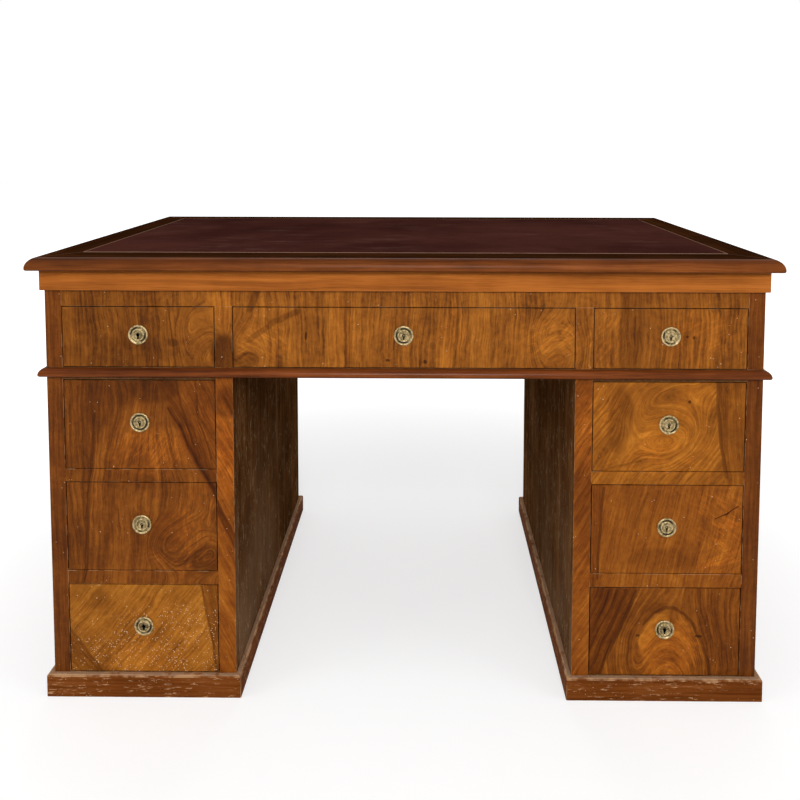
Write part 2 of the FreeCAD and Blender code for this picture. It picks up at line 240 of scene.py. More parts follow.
# How many marks come in a metre: across the grain, into the board and along the grain
BROAD_MARKS = (40.0, 30.0, 4.0)
LINE_MARKS = (230.0, 120.0, 9.0)
FIBRE_MARKS = (1100.0, 700.0, 40.0)
THREAD_MARKS = (230.0, 100.0, 46.0)
CLOUD_MARKS = 13.0
FEATHER_MARKS = 95.0
CHIP_MARKS = 230.0
SPRAY_MARKS = 330.0
SPRAY_CHIP = 0.32
CHIP_DRIFTS = 40.0

# How far a bump of the grain stands out
GRAIN_RELIEF = 0.2 * MM
METAL_RELIEF = 0.1 * MM
LEATHER_RELIEF = 0.3 * MM

# Nearest that a ray of a fan comes to the point that it spreads from
FAN_ROOT = 0.03


def grained(across, into, along, marks):
    """Place along and across the grain, counted in marks."""
    return joined(across * marks[0], into * marks[1], along * marks[2])


def beside(x, z, start, end):
    """Distance from the line between two points, over 0 on the right hand of one who walks along it."""
    run, climb = end[0] - start[0], end[1] - start[1]
    length = math.hypot(run, climb)
    return x * (climb / length) - z * (run / length) - (start[0] * climb - start[1] * run) / length


def streak(x, z, start, end, width):
    """Dark line of the figure between two points, fading at its ends."""
    run, climb = end[0] - start[0], end[1] - start[1]
    length = math.hypot(run, climb)
    along = x * (run / length) + z * (climb / length) - (start[0] * run + start[1] * climb) / length
    ends = rise(abs(along - length / 2), length / 2 + 2 * width, length / 2)
    return rise(abs(beside(x, z, start, end)), width, width * 0.15) * ends


def spot(x, z, centre, reach):
    """Soft oval patch: 1 in its middle and 0 from its edge on."""
    across, up = (x - centre[0]) / reach[0], (z - centre[1]) / reach[1]
    return rise((across * across + up * up) ** 0.5, 1.0, 0.3)


def leaning(x, z, degrees):
    """Places across and along a grain that leans to the left of upright."""
    turn = math.radians(degrees)
    return x * math.cos(turn) + z * math.sin(turn), z * math.cos(turn) - x * math.sin(turn)


def oval_points(centre, reach, turns):
    """Points on an oval, at these degrees from its right-hand end."""
    angles = [math.radians(turn) for turn in turns]
    return [(centre[0] + reach[0] * math.cos(a), centre[1] + reach[1] * math.sin(a)) for a in angles]


def veneer(name, tones, lean=0.0, fields=(), arches=(), fans=(), streaks=(), spots=(), curls=(),
           chips=(0.005, 0.2), sprays=(), drift=0.022):
    """Polished walnut veneer.

    tones go from the darkest to the lightest, and lean turns the grain from upright, in degrees.
    fields tint all that lies right of a line and may turn its grain. arches bow the grain about a centre
    and fans spread it down from a point. curls lay fine light feathers over a place, streaks draw dark
    lines and spots lay soft patches. chips gives the share and size of small chips, of which sprays
    scatter more over a place. drift is how far the figure wanders.
    """
    finish, start = new_finish(name)
    place = object_place(start)
    bent = shifted(shifted(place, 7.0, drift), 30.0, drift * 0.3)
    x, y, z = split(bent)
    across, along = leaning(x, z, lean)
    tinted = []
    for low, high, soft, factors, turn in fields:
        inside = rise(beside(x, z, low, high), -soft, soft)
        tinted.append((inside, factors))
        if turn is not None:
            other, further = leaning(x, z, turn)
            across = across + (other - across) * inside
            along = along + (further - along) * inside
    for centre, reach, middle, spread in arches:
        side, up = (x - centre[0]) / reach[0], (z - centre[1]) / reach[1]
        bow = ((side * side + up * up) ** 0.5) * reach[0]
        middle_side, middle_up = (middle[0] - centre[0]) / reach[0], (middle[1] - centre[1]) / reach[1]
        start_bow = math.hypot(middle_side, middle_up) * reach[0]
        bow = bow + (leaning(*middle, lean)[0] - start_bow)
        across = across + (bow - across) * spot(x, z, middle, spread)
    for apex, reach, middle, spread in fans:
        ray = (x - apex[0]) / (apex[1] - z).most(FAN_ROOT) * reach
        start_ray = (middle[0] - apex[0]) / (apex[1] - middle[1]) * reach
        ray = ray + (leaning(*middle, lean)[0] - start_ray)
        across = across + (ray - across) * spot(x, z, middle, spread)
    broad = noise(grained(across, y, along, BROAD_MARKS), 1.0, 3.0, 0.55)
    lines = noise(grained(across, y, along, LINE_MARKS), 1.0, 4.0, 0.62)
    fibres = noise(grained(across, y, along, FIBRE_MARKS), 1.0, 2.0, 0.6)
    cloud = noise(bent, CLOUD_MARKS, 4.0, 0.62)
    feather = noise(shifted(bent, 50.0, 0.016), FEATHER_MARKS, 4.0, 0.7)
    shade = broad * 0.42 + lines * 0.80 + cloud * 0.50 + feather * 0.35 + fibres * 0.26 - 0.665
    stops = [(0.28, tones[0]), (0.45, tones[1]), (0.57, tones[2]), (0.74, tones[3])]
    colour = start.node("ShaderNodeValToRGB", {"stops": stops}, {"Fac": shade})
    fray = (lines - 0.5) * 1.1 + (feather - 0.5) * 0.7

    def laid(under, mask, amount, factors):
        """A tint whose edge frays along the grain."""
        frayed = rise(mask + fray * rise(mask, 0.0, 0.3), 0.12, 0.72)
        return mixed(frayed * amount, under, factors, "MULTIPLY")

    for inside, factors in tinted:
        colour = mixed(inside, colour, factors, "MULTIPLY")
    for points, width, amount in streaks:
        line = streak(x, z, points[0], points[1], width)
        for low, high in zip(points[1:], points[2:]):
            line = line.most(streak(x, z, low, high, width))
        colour = laid(colour, line, amount, tint(0.30, 0.24, 0.21))
    for centre, reach, amount, factors in spots:
        colour = laid(colour, spot(x, z, centre, reach), amount, factors)
    for centre, reach, turn, factors in curls:
        sweep, climb = leaning(x, z, turn)
        threads = noise(shifted(grained(sweep, y, climb, THREAD_MARKS), 0.35, 2.6), 1.0, 3.0, 0.6)
        colour = mixed(spot(x, z, centre, reach) * rise(threads, 0.46, 0.64), colour, factors, "MULTIPLY")
    colour = mixed(rise(fibres, 0.40, 0.27) * 0.5, colour, tint(0.52, 0.45, 0.4), "MULTIPLY")
    chipped = specks(place, CHIP_MARKS, *chips)
    for centre, reach, share in sprays:
        sprayed = specks(place, SPRAY_MARKS, share, SPRAY_CHIP)
        chipped = chipped.most(sprayed * rise(spot(x, z, centre, reach), 0.05, 0.5))
    colour = mixed(chipped * 0.9, colour, tone(226, 198, 160))
    worn = marked(start, "worn", "Fac") * rise(noise(place, 60.0, 3.0), 0.42, 0.6)
    colour = mixed(worn * 0.55, colour, tone(190, 148, 108))
    rough = 0.42 + lines * 0.12 + chipped * 0.25 + worn * 0.15
    bump = fibres * 0.4 + lines * 0.6 - chipped * 0.8
    surfaced(start, colour, rough, bump, GRAIN_RELIEF, 0.22, Specular_IOR_Level=0.07)
    return finish


# Marks of solid wood in a metre, along the grain and across it
BOARD_BROAD_MARKS = (2.4, 42.0)
BOARD_LINE_MARKS = (4.5, 210.0)
BOARD_FIBRE_MARKS = (26.0, 1100.0)
BOARD_NICK_MARKS = (52.0, 330.0)
BOARD_CHIP_MARKS = 300.0

# Heights and depths between which the kneehole grows lighter: dark to light
FRONT_LOW_Z = (0.5, 0.06)
FRONT_LOW_Y = (0.3, -0.3)


def board_marks(grain, marks, stretch=1.0):
    """Place on a board, counted in marks along and across its grain."""
    along, across = marks
    return mapped(grain, (along * stretch, across, across))


def timber(name, tones, polish, stretch=1.0, worn_tone=(180, 136, 94), worn_amount=0.4, chips=None,
           ledge=None, scratch=0.0, front_low_tone=None, painted_shade=0.0, relief=0.3, specular=0.06):
    """Solid wood whose grain runs along each board.

    tones go from the darkest to the lightest, polish is the roughness and stretch shortens the marks
    along the grain. Edges are worn to worn_tone, chips and scratch give scars, ledge is the tone of dust
    on top and front_low_tone is a lighter tone towards the front and the floor. painted_shade darkens
    what looks up or down as painted shade, and relief is the strength of the grain's bump.
    """
    finish, start = new_finish(name)
    grain = marked(start, "grain", "Vector")
    bent = shifted(grain, 5.0, 0.012)
    broad = noise(board_marks(bent, BOARD_BROAD_MARKS, stretch), 1.0, 3.0, 0.55)
    lines = noise(board_marks(bent, BOARD_LINE_MARKS, stretch), 1.0, 3.0, 0.6)
    fibres = noise(board_marks(grain, BOARD_FIBRE_MARKS, stretch), 1.0, 2.0, 0.6)
    cloud = noise(grain, 9.0, 3.0, 0.6)
    shade = broad * 0.46 + lines * 0.55 + cloud * 0.36 + fibres * 0.22 - 0.32
    stops = [(0.25, tones[0]), (0.5, tones[1]), (0.75, tones[2])]
    colour = start.node("ShaderNodeValToRGB", {"stops": stops}, {"Fac": shade})
    colour = mixed(rise(fibres, 0.38, 0.26) * 0.5, colour, tint(0.5, 0.45, 0.42), "MULTIPLY")
    bump = fibres * 0.5 + lines * 0.5
    rough = polish + lines * 0.12
    # Painted shade: what looks up or down is darkened.
    if painted_shade:
        painted_shade_mask = rise(abs(facing_up(start)), 0.2, 0.8) * painted_shade
        colour = mixed(painted_shade_mask, colour, tint(0.3, 0.24, 0.2), "MULTIPLY")
    if ledge:
        dust = rise(facing_up(start), 0.6, 0.95) * rise(noise(grain, 55.0, 3.0, 0.65), 0.24, 0.48)
        colour = mixed(dust * 0.85, colour, ledge)
        rough = rough + dust * 0.25
    # Lighter towards the front and the floor of the kneehole, broken up by noise.
    if front_low_tone:
        y, z = split(object_place(start))[1:]
        front_low_mask = rise(z, *FRONT_LOW_Z) * rise(y, *FRONT_LOW_Y) * rise(noise(grain, 5.0, 2.0), 0.25, 0.75)
        colour = mixed(front_low_mask * 0.6, colour, front_low_tone)
    if scratch:
        nick = noise(shifted(board_marks(grain, BOARD_NICK_MARKS), 0.6, 0.9), 1.0, 3.0, 0.72)
        nicks = rise(nick, 0.57, 0.66) * rise(noise(grain, 24.0, 2.0), 0.38, 0.58)
        colour = mixed(nicks * scratch, colour, tone(*worn_tone))
        bump = bump - nicks * 0.6
    if chips:
        chipped = specks(grain, BOARD_CHIP_MARKS, *chips)
        colour = mixed(chipped * 0.85, colour, tone(212, 178, 138))
        rough = rough + chipped * 0.2
    worn = marked(start, "worn", "Fac") * rise(noise(grain, 50.0, 3.0), 0.40, 0.62)
    colour = mixed(worn * worn_amount, colour, tone(*worn_tone))
    surfaced(start, colour, rough, bump, GRAIN_RELIEF, relief, Specular_IOR_Level=specular)
    return finish


# Tints that the figure is drawn with
shadow = tint(0.38, 0.33, 0.30)
dusk = tint(0.60, 0.55, 0.52)
knot = tint(0.22, 0.18, 0.16)
warm = tint(1.24, 1.2, 1.1)
glow = tint(1.42, 1.40, 1.3)

# Dark arc of the figure, which runs over the rails and drawers of the left pedestal
left_arc = [
    (-0.408, 0.517), (-0.383, 0.483), (-0.357, 0.422), (-0.331, 0.370), (-0.313, 0.317), (-0.292, 0.262),
]
ARC_SHADE = 0.012

# Dark outline of the arch in the lowest drawer on the right
arch_centre, arch_reach = (0.4625, -0.06), (0.084, 0.226)
right_arch = oval_points(arch_centre, arch_reach, range(24, 132, 12))

finishes = {}
finishes["frieze"] = veneer(
    "frieze_veneer", (tone(84, 44, 12), tone(124, 70, 20), tone(146, 86, 26), tone(170, 104, 35)),
    fields=[((-0.418, 0.75), (-0.400, 0.58), 0.03, tint(0.74, 0.71, 0.68), None),
            ((0.32, 0.58), (0.32, 0.75), 0.02, tint(0.86, 0.84, 0.84), None)],
    arches=[((0.271, 0.53), (0.05, 0.12), (0.272, 0.635), (0.065, 0.075)),
            ((-0.268, 0.545), (0.05, 0.10), (-0.268, 0.62), (0.055, 0.065)),
            ((-0.30, 0.60), (0.06, 0.05), (-0.35, 0.63), (0.05, 0.08))],
    streaks=[([(-0.098, 0.585), (-0.101, 0.76)], 0.004, 0.6),
             ([(-0.0905, 0.585), (-0.092, 0.70)], 0.002, 0.5),
             ([(0.0875, 0.585), (0.090, 0.76)], 0.004, 0.5),
             ([(0.0965, 0.585), (0.097, 0.70)], 0.002, 0.5),
             ([(-0.262, 0.640), (-0.222, 0.668), (-0.183, 0.684)], 0.008, 0.5),
             ([(-0.262, 0.695), (-0.250, 0.722)], 0.010, 0.65),
             ([(-0.397, 0.587), (-0.403, 0.70)], 0.003, 0.6),
             ([(0.395, 0.60), (0.40, 0.66)], 0.003, 0.4),
             ([(-0.145, 0.600), (-0.131, 0.69)], 0.006, 0.3),
             ([(0.155, 0.600), (0.148, 0.69)], 0.006, 0.3)],
    spots=[((-0.49, 0.615), (0.12, 0.04), 0.5, dusk), ((-0.545, 0.675), (0.05, 0.05), 0.4, dusk),
           ((-0.36, 0.64), (0.06, 0.08), 0.4, dusk), ((-0.40, 0.628), (0.014, 0.01), 0.6, shadow),
           ((0.387, 0.65), (0.030, 0.14), 0.8, dusk), ((0.50, 0.64), (0.09, 0.07), 0.5, warm),
           ((-0.105, 0.64), (0.03, 0.10), 0.5, warm), ((0.08, 0.64), (0.03, 0.10), 0.5, warm),
           ((-0.312, 0.612), (0.032, 0.056), 1.0, shadow), ((-0.312, 0.69), (0.03, 0.05), 0.5, warm),
           ((0.308, 0.66), (0.02, 0.05), 0.5, dusk), ((-0.272, 0.602), (0.034, 0.022), 0.8, shadow),
           ((0.28, 0.605), (0.05, 0.03), 0.5, dusk), ((-0.20, 0.665), (0.08, 0.03), 0.35, dusk),
           ((-0.0236, 0.6027), (0.006, 0.004), 0.9, knot), ((0.0393, 0.601), (0.004, 0.005), 0.9, knot),
           ((0.0515, 0.6306), (0.008, 0.010), 0.5, shadow),
           ((-0.1684, 0.643), (0.003, 0.011), 0.9, knot),
           ((0.487, 0.645), (0.004, 0.004), 0.8, knot), ((0.497, 0.6425), (0.003, 0.004), 0.8, knot)],
    curls=[((-0.36, 0.64), (0.06, 0.07), 20.0, tint(1.12, 1.1, 1.05)),
           ((-0.25, 0.63), (0.08, 0.07), 55.0, glow),
           ((0.26, 0.63), (0.08, 0.07), -55.0, glow), ((0.345, 0.64), (0.05, 0.08), -30.0, glow),
           ((0.51, 0.65), (0.10, 0.06), -60.0, warm)],
    chips=(0.004, 0.2),
)
finishes["left_pedestal"] = veneer(
    "left_pedestal_veneer", (tone(78, 39, 10), tone(105, 55, 14), tone(122, 66, 18), tone(148, 86, 27)),
    lean=-4.0,
    fields=[((-0.528, 0.58), (-0.560, 0.20), 0.006, tint(0.80, 0.78, 0.76), 2.0),
            ((-0.283, 0.25), (-0.428, 0.56), 0.005, tint(0.86, 0.80, 0.76), 26.0)],
    arches=[((-0.30, 0.20), (0.10, 0.10), (-0.37, 0.27), (0.09, 0.07))],
    fans=[((-0.435, 0.60), 0.14, (-0.44, 0.42), (0.11, 0.17))],
    streaks=[(left_arc, 0.0035, 0.7), (left_arc[1:], 0.008, 0.55),
             ([(x + ARC_SHADE, z) for x, z in left_arc], 0.014, 0.4),
             ([(-0.333, 0.43), (-0.352, 0.50), (-0.362, 0.57)], 0.003, 0.45),
             ([(-0.40, 0.575), (-0.352, 0.43)], 0.003, 0.5),
             ([(-0.561, 0.20), (-0.536, 0.50)], 0.005, 0.55),
             ([(-0.39, 0.235), (-0.345, 0.275)], 0.004, 0.45)],
    spots=[((-0.432, 0.550), (0.065, 0.034), 0.7, shadow), ((-0.345, 0.245), (0.04, 0.04), 0.6, shadow),
           ((-0.525, 0.53), (0.03, 0.07), 0.5, dusk), ((-0.49, 0.545), (0.03, 0.04), 0.4, dusk),
           ((-0.45, 0.435), (0.09, 0.06), 0.6, glow), ((-0.375, 0.45), (0.03, 0.05), 0.6, glow),
           ((-0.46, 0.29), (0.10, 0.08), 0.25, dusk), ((-0.45, 0.385), (0.03, 0.02), 0.5, dusk),
           ((-0.405, 0.30), (0.05, 0.04), 0.4, tint(0.95, 0.82, 0.7))],
    curls=[((-0.44, 0.44), (0.09, 0.06), -35.0, glow), ((-0.36, 0.32), (0.07, 0.09), -8.0, glow),
           ((-0.39, 0.25), (0.09, 0.04), -65.0, glow), ((-0.34, 0.48), (0.05, 0.10), 24.0, warm)],
    chips=(0.005, 0.2),
)
finishes["left_lower"] = veneer(
    "left_lower_veneer", (tone(112, 62, 14), tone(142, 84, 23), tone(160, 98, 30), tone(182, 118, 42)),
    lean=-40.0,
    fields=[((-0.3325, 0.0425), (-0.3517, 0.1956), 0.003, tint(0.62, 0.54, 0.50), 8.0),
            ((-0.587, 0.1225), (-0.5297, 0.0425), 0.003, tint(0.64, 0.58, 0.54), 40.0)],
    streaks=[([(-0.331, 0.04), (-0.353, 0.198)], 0.003, 0.6),
             ([(-0.5297, 0.0425), (-0.587, 0.1225)], 0.003, 0.5)],
    spots=[((-0.46, 0.06), (0.10, 0.04), 0.4, warm), ((-0.55, 0.18), (0.05, 0.03), 0.4, dusk)],
    curls=[((-0.44, 0.11), (0.12, 0.09), -45.0, warm)], chips=(0.12, 0.28),
    sprays=[((-0.40, 0.085), (0.17, 0.10), 0.42), ((-0.56, 0.06), (0.08, 0.07), 0.3)],
)
finishes["right_upper"] = veneer(
    "right_upper_veneer", (tone(106, 58, 14), tone(138, 79, 21), tone(156, 92, 26), tone(182, 114, 37)),
    lean=-34.0,
    fields=[((0.5576, 0.40), (0.5384, 0.5575), 0.003, tint(0.68, 0.63, 0.60), 4.0)],
    arches=[((0.45, 0.37), (0.10, 0.15), (0.455, 0.50), (0.10, 0.10))],
    streaks=[([(0.5576, 0.40), (0.5384, 0.5575)], 0.005, 0.6),
             ([(0.33, 0.405), (0.41, 0.424)], 0.003, 0.35)],
    spots=[((0.372, 0.50), (0.03, 0.08), 0.9, dusk), ((0.5, 0.53), (0.05, 0.05), 0.5, warm),
           ((0.491, 0.529), (0.005, 0.004), 0.9, knot), ((0.36, 0.43), (0.04, 0.04), 0.4, dusk),
           ((0.44, 0.46), (0.05, 0.05), 0.4, warm)],
    curls=[((0.345, 0.52), (0.04, 0.06), -30.0, glow), ((0.40, 0.42), (0.10, 0.04), -70.0, warm),
           ((0.47, 0.44), (0.09, 0.07), -50.0, warm)],
    chips=(0.004, 0.2),
)
finishes["right_middle"] = veneer(
    "right_middle_veneer", (tone(98, 50, 12), tone(128, 69, 18), tone(142, 80, 22), tone(166, 100, 32)),
    lean=-14.0,
    fields=[((0.3482, 0.3748), (0.336, 0.2217), 0.003, tint(0.74, 0.68, 0.64), 0.0)],
    streaks=[([(0.336, 0.2217), (0.3482, 0.3748)], 0.004, 0.65),
             ([(0.5436, 0.3226), (0.562, 0.331)], 0.0016, 1.0),
             ([(0.560, 0.330), (0.5785, 0.3435)], 0.0016, 1.0),
             ([(0.405, 0.31), (0.425, 0.365)], 0.004, 0.35)],
    spots=[((0.565, 0.29), (0.03, 0.06), 0.5, warm), ((0.45, 0.25), (0.08, 0.03), 0.35, dusk),
           ((0.40, 0.34), (0.02, 0.05), 0.3, dusk), ((0.54, 0.24), (0.04, 0.02), 0.5, warm)],
    curls=[((0.55, 0.32), (0.07, 0.08), 60.0, glow), ((0.55, 0.25), (0.06, 0.04), -60.0, glow)],
    chips=(0.010, 0.22),
)
finishes["right_lower"] = veneer(
    "right_lower_veneer", (tone(88, 44, 9), tone(116, 62, 15), tone(136, 76, 20), tone(162, 98, 29)),
    lean=0.0,
    arches=[(arch_centre, arch_reach, (0.4625, 0.07), (0.12, 0.16))],
    fields=[((0.4058, 0.1956), (0.3464, 0.039), 0.003, tint(0.54, 0.46, 0.40), -21.0),
            ((0.535, 0.02), (0.505, 0.2), 0.012, tint(0.86, 0.82, 0.78), 0.0)],
    streaks=[([(0.3464, 0.039), (0.4058, 0.1956)], 0.005, 0.6),
             ([(0.333, 0.05), (0.389, 0.1956)], 0.004, 0.5),
             ([(0.328, 0.085), (0.372, 0.1956)], 0.003, 0.5),
             ([(0.333, 0.12), (0.358, 0.1956)], 0.003, 0.4),
             (right_arch, 0.0045, 0.6)],
    spots=[((0.4625, 0.08), (0.07, 0.09), 0.9, glow), ((0.445, 0.164), (0.04, 0.014), 0.5, dusk),
           ((0.411, 0.114), (0.006, 0.004), 0.8, knot), ((0.515, 0.113), (0.009, 0.004), 0.8, knot)],
    curls=[((0.45, 0.07), (0.06, 0.05), -60.0, warm), ((0.49, 0.09), (0.05, 0.07), 35.0, warm)],
    chips=(0.005, 0.2),
)
stile_tones = (tone(96, 47, 10), tone(124, 64, 16), tone(140, 76, 20), tone(164, 96, 30))
finishes["left_inner_stile"] = veneer(
    "left_inner_stile_veneer", stile_tones, lean=26.0,
    streaks=[([(-0.285, 0.255), (-0.330, 0.350)], 0.010, 0.8),
             ([(-0.292, 0.50), (-0.31, 0.54)], 0.004, 0.5)],
    spots=[((-0.305, 0.53), (0.03, 0.04), 0.6, shadow),
           ((-0.31, 0.42), (0.03, 0.08), 0.4, tint(1.1, 0.92, 0.75))],
    curls=[((-0.31, 0.45), (0.05, 0.14), 26.0, glow)],
)
finishes["right_inner_stile"] = veneer(
    "right_inner_stile_veneer", stile_tones, lean=-32.0,
    spots=[((0.31, 0.36), (0.03, 0.10), 0.7, dusk)], curls=[((0.31, 0.48), (0.05, 0.10), -34.0, glow)],
    chips=(0.02, 0.22),
)
finishes["outer_stile"] = veneer(
    "outer_stile_veneer", (tone(74, 35, 8), tone(93, 47, 12), tone(106, 55, 15), tone(126, 69, 21)),
    drift=0.010,
)
finishes["side"] = timber(
    "side_veneer", (tone(70, 34, 9), tone(110, 58, 17), tone(142, 80, 28)), 0.42, specular=0.02,
)
finishes["back"] = timber("back_boards", (tone(56, 32, 16), tone(88, 52, 25), tone(118, 74, 38)), 0.6)
finishes["kneehole"] = timber(
    "kneehole_sides", (tone(48, 27, 11), tone(98, 60, 28), tone(150, 108, 66)), 0.6,
    worn_tone=(206, 176, 138), scratch=0.5, chips=(0.03, 0.2), front_low_tone=tone(146, 114, 86), specular=0.0,
)
finishes["fascia"] = timber(
    "fascia_wood", (tone(122, 64, 20), tone(166, 94, 34), tone(190, 114, 46)), 0.5, 0.8, worn_amount=0.2,
)
# The moulding and the nosing are given painted shade where they look up or down.
finishes["moulding"] = timber(
    "moulding_wood", (tone(58, 26, 8), tone(106, 52, 19), tone(142, 76, 31)), 0.14,
    worn_amount=0.15, painted_shade=0.3, relief=0.05, specular=0.07,
)
finishes["border_nose"] = timber(
    "border_nosing", (tone(64, 32, 10), tone(112, 59, 24), tone(146, 82, 36)), 0.24,
    worn_amount=0.12, painted_shade=0.58, relief=0.07, specular=0.05,
)
finishes["border"] = timber(
    "border_wood", (tone(30, 14, 5), tone(52, 27, 11), tone(76, 42, 18)), 0.5, worn_amount=0.0, specular=0.0,
)
finishes["plinth"] = timber(
    "plinth_wood", (tone(74, 34, 9), tone(114, 60, 22), tone(142, 84, 40)), 0.6,
    worn_tone=(196, 154, 112), worn_amount=0.65, scratch=0.9, chips=(0.06, 0.26),
    ledge=tone(152, 122, 96), specular=0.01,
)
finishes["carcass"] = timber("carcass_wood", (tone(64, 40, 22), tone(104, 68, 38), tone(140, 98, 58)), 0.65)
finishes["drawer_box"] = timber(
    "drawer_wood", (tone(128, 92, 56), tone(176, 134, 88), tone(204, 166, 118)), 0.6,
    worn_amount=0.2, specular=0.1,
)


def aged_brass():
    """Cast brass with a green-brown bloom, dark in its grooves and worn bright on top."""
    finish, start = new_finish("aged_brass")
    place = object_place(start)
    bloom = noise(place, 260.0, 4.0, 0.65)
    deep = marked(start, "groove", "Fac")
    dirt = deep * (0.35 + 0.65 * rise(noise(place, 75.0, 2.0), 0.38, 0.58))
    colour = mixed(rise(bloom, 0.36, 0.66), tone(196, 170, 124), tone(112, 98, 58))
    colour = mixed(dirt, colour, tone(34, 28, 16))
    rough = 0.34 + bloom * 0.25 + dirt * 0.25
    surfaced(start, colour, rough, noise(place, 900.0, 3.0), METAL_RELIEF, 0.3, Metallic=0.75)
    return finish


def lock_metal(name, dark, light):
    """Filed and dulled metal of the locks and bolts."""
    finish, start = new_finish(name)
    place = object_place(start)
    rub = noise(mapped(place, (500.0, 500.0, 40.0)), 1.0, 3.0, 0.6)
    colour = mixed(rise(noise(place, 120.0, 4.0, 0.65), 0.35, 0.7), light, dark)
    surfaced(start, colour, 0.36 + rub * 0.3, rub, METAL_RELIEF, 0.25, Metallic=0.85)
    return finish


# Width of the painted highlight along the leather's edge, from where it starts to where it is full
EDGE_HIGHLIGHT_BAND = (2.5 * MM, 1.0 * MM)


def old_leather(half_x, half_y):
    """Dark red leather, scuffed, with a highlight painted pale along its edge."""
    finish, start = new_finish("writing_leather")
    place = object_place(start)
    x, y = split(place)[:2]
    cells = {"Vector": shifted(place, 160.0, 0.003), "Scale": 520.0}
    pebble = start.node("ShaderNodeTexVoronoi", {"feature": "SMOOTH_F1"}, cells, "Distance")
    cloud = noise(place, 3.2, 4.0, 0.6)
    scuff = noise(mapped(place, (9.0, 26.0, 1.0), (0, 0, 0.35)), 1.0, 5.0, 0.72)
    scuffs = rise(scuff, 0.46, 0.82) * rise(noise(place, 5.0, 2.0), 0.38, 0.66)
    colour = mixed(rise(cloud, 0.3, 0.7), tone(53, 26, 22), tone(74, 40, 33))
    colour = mixed(rise(pebble, 0.5, 0.15) * 0.3, colour, tint(0.6, 0.58, 0.58), "MULTIPLY")
    colour = mixed(scuffs * 0.30, colour, tone(128, 96, 86))
    # Painted highlight: the leather's edge is painted pale all round.
    ends = rise(abs(x), half_x - EDGE_HIGHLIGHT_BAND[0], half_x - EDGE_HIGHLIGHT_BAND[1])
    sides = rise(abs(y), half_y - EDGE_HIGHLIGHT_BAND[0], half_y - EDGE_HIGHLIGHT_BAND[1])
    painted_edge_highlight = ends.most(sides) * rise(noise(place, 16.0, 3.0), 0.24, 0.42)
    colour = mixed(painted_edge_highlight * 0.6, colour, tone(168, 134, 112))
    rough = 0.66 + scuffs * 0.12 - pebble * 0.08
    surfaced(start, colour, rough, pebble, LEATHER_RELIEF, 0.35, Specular_IOR_Level=0.0)
    return finish


finishes["brass"] = aged_brass()
finishes["lock"] = lock_metal("lock_brass", tone(92, 76, 40), tone(168, 144, 86))
finishes["iron"] = lock_metal("bolt_iron", tone(58, 54, 50), tone(128, 124, 118))


# Pieces copied from the solids, with their edges eased and the grain laid along each board

def solid_groups(mesh):
    """Face numbers of each closed solid in a node's mesh, which come one solid after another."""
    groups, faces, open_edges = [], [], set()
    for polygon in mesh.polygons:
        corners = [tuple(round(c, 6) for c in mesh.vertices[index].co) for index in polygon.vertices]
        for start, end in zip(corners, corners[1:] + corners[:1]):
            if (end, start) in open_edges:
                open_edges.remove((end, start))
            else:
                open_edges.add((start, end))
        faces.append(polygon.index)
        if not open_edges:
            groups.append(faces)
            faces = []
    return groups


def bevelled(bm, edges, width, steps):
    """Eases edges and gives the faces that come between."""
    return bmesh.ops.bevel(
        bm, geom=edges, offset=width, offset_type="OFFSET", segments=steps, profile=0.5,
        affect="EDGES", clamp_overlap=True, material=-1,
    )["faces"]


def lay_grain(bm, solid, upright):
    """Writes each point's place along and across its own board. Every board is cut from a fresh place."""
    grain = bm.verts.layers.float_vector.new("grain")
    boards = {}
    for vert in bm.verts:
        if vert.link_faces:
            boards.setdefault(vert.link_faces[0][solid], []).append(vert)
    for number in sorted(boards):
        verts = boards[number]
        spans = [max(v.co[axis] for v in verts) - min(v.co[axis] for v in verts) for axis in range(3)]
        along = 2 if upright else spans.index(max(spans))
        order = (along, (along + 1) % 3, (along + 2) % 3)
        start = Vector([draws.uniform(0, LOG_LENGTH) for axis in range(3)])
        for vert in verts:
            vert[grain] = start + Vector([vert.co[axis] for axis in order])


def eased_copy(node, ease, keep=None, upright=False):
    """A bmesh of a node's solids, merged, with flat faces made whole and sharp edges eased."""
    mesh = frame["nodes"][node].data
    bm = bmesh.new()
    bm.from_mesh(mesh)
    solid = bm.faces.layers.int.new("solid")
    worn = bm.faces.layers.float.new("worn")
    bm.faces.ensure_lookup_table()
    groups = solid_groups(mesh)
    for number, group in enumerate(groups):
        for index in group:
            bm.faces[index][solid] = number
    if keep is not None:
        spare = [face for face in bm.faces if face[solid] != keep]
        bmesh.ops.delete(bm, geom=spare, context="FACES")
    for number in range(len(groups)):
        verts = list({vert for face in bm.faces if face[solid] == number for vert in face.verts})
        bmesh.ops.remove_doubles(bm, verts=verts, dist=MERGE)
    bmesh.ops.dissolve_limit(bm, angle_limit=FLAT_ANGLE, verts=bm.verts, edges=bm.edges)
    sharp = [edge for edge in bm.edges if edge.is_manifold and edge.calc_face_angle() > SHARP_ANGLE]
    for face in bevelled(bm, sharp, ease, EASE_STEPS):
        face[worn] = 1.0
    lay_grain(bm, solid, upright)
    return bm


def made(name, bm):
    """An object in the scene from a bmesh."""
    mesh = bpy.data.meshes.new(name)
    bm.to_mesh(mesh)
    bm.free()
    piece = bpy.data.objects.new(name, mesh)
    bpy.context.scene.collection.objects.link(piece)
    return piece


def finished(name, bm, body, looks, node=None):
    """A piece of the desk from its bmesh, riding on its body."""
    piece = made(name, bm)
    for look in looks:
        piece.data.materials.append(finishes[look])
    piece.data.shade_smooth()
    piece.modifiers.new("even_shading", "WEIGHTED_NORMAL").keep_sharp = True
    if node:
        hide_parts(node)
    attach(piece, body)
    return piece


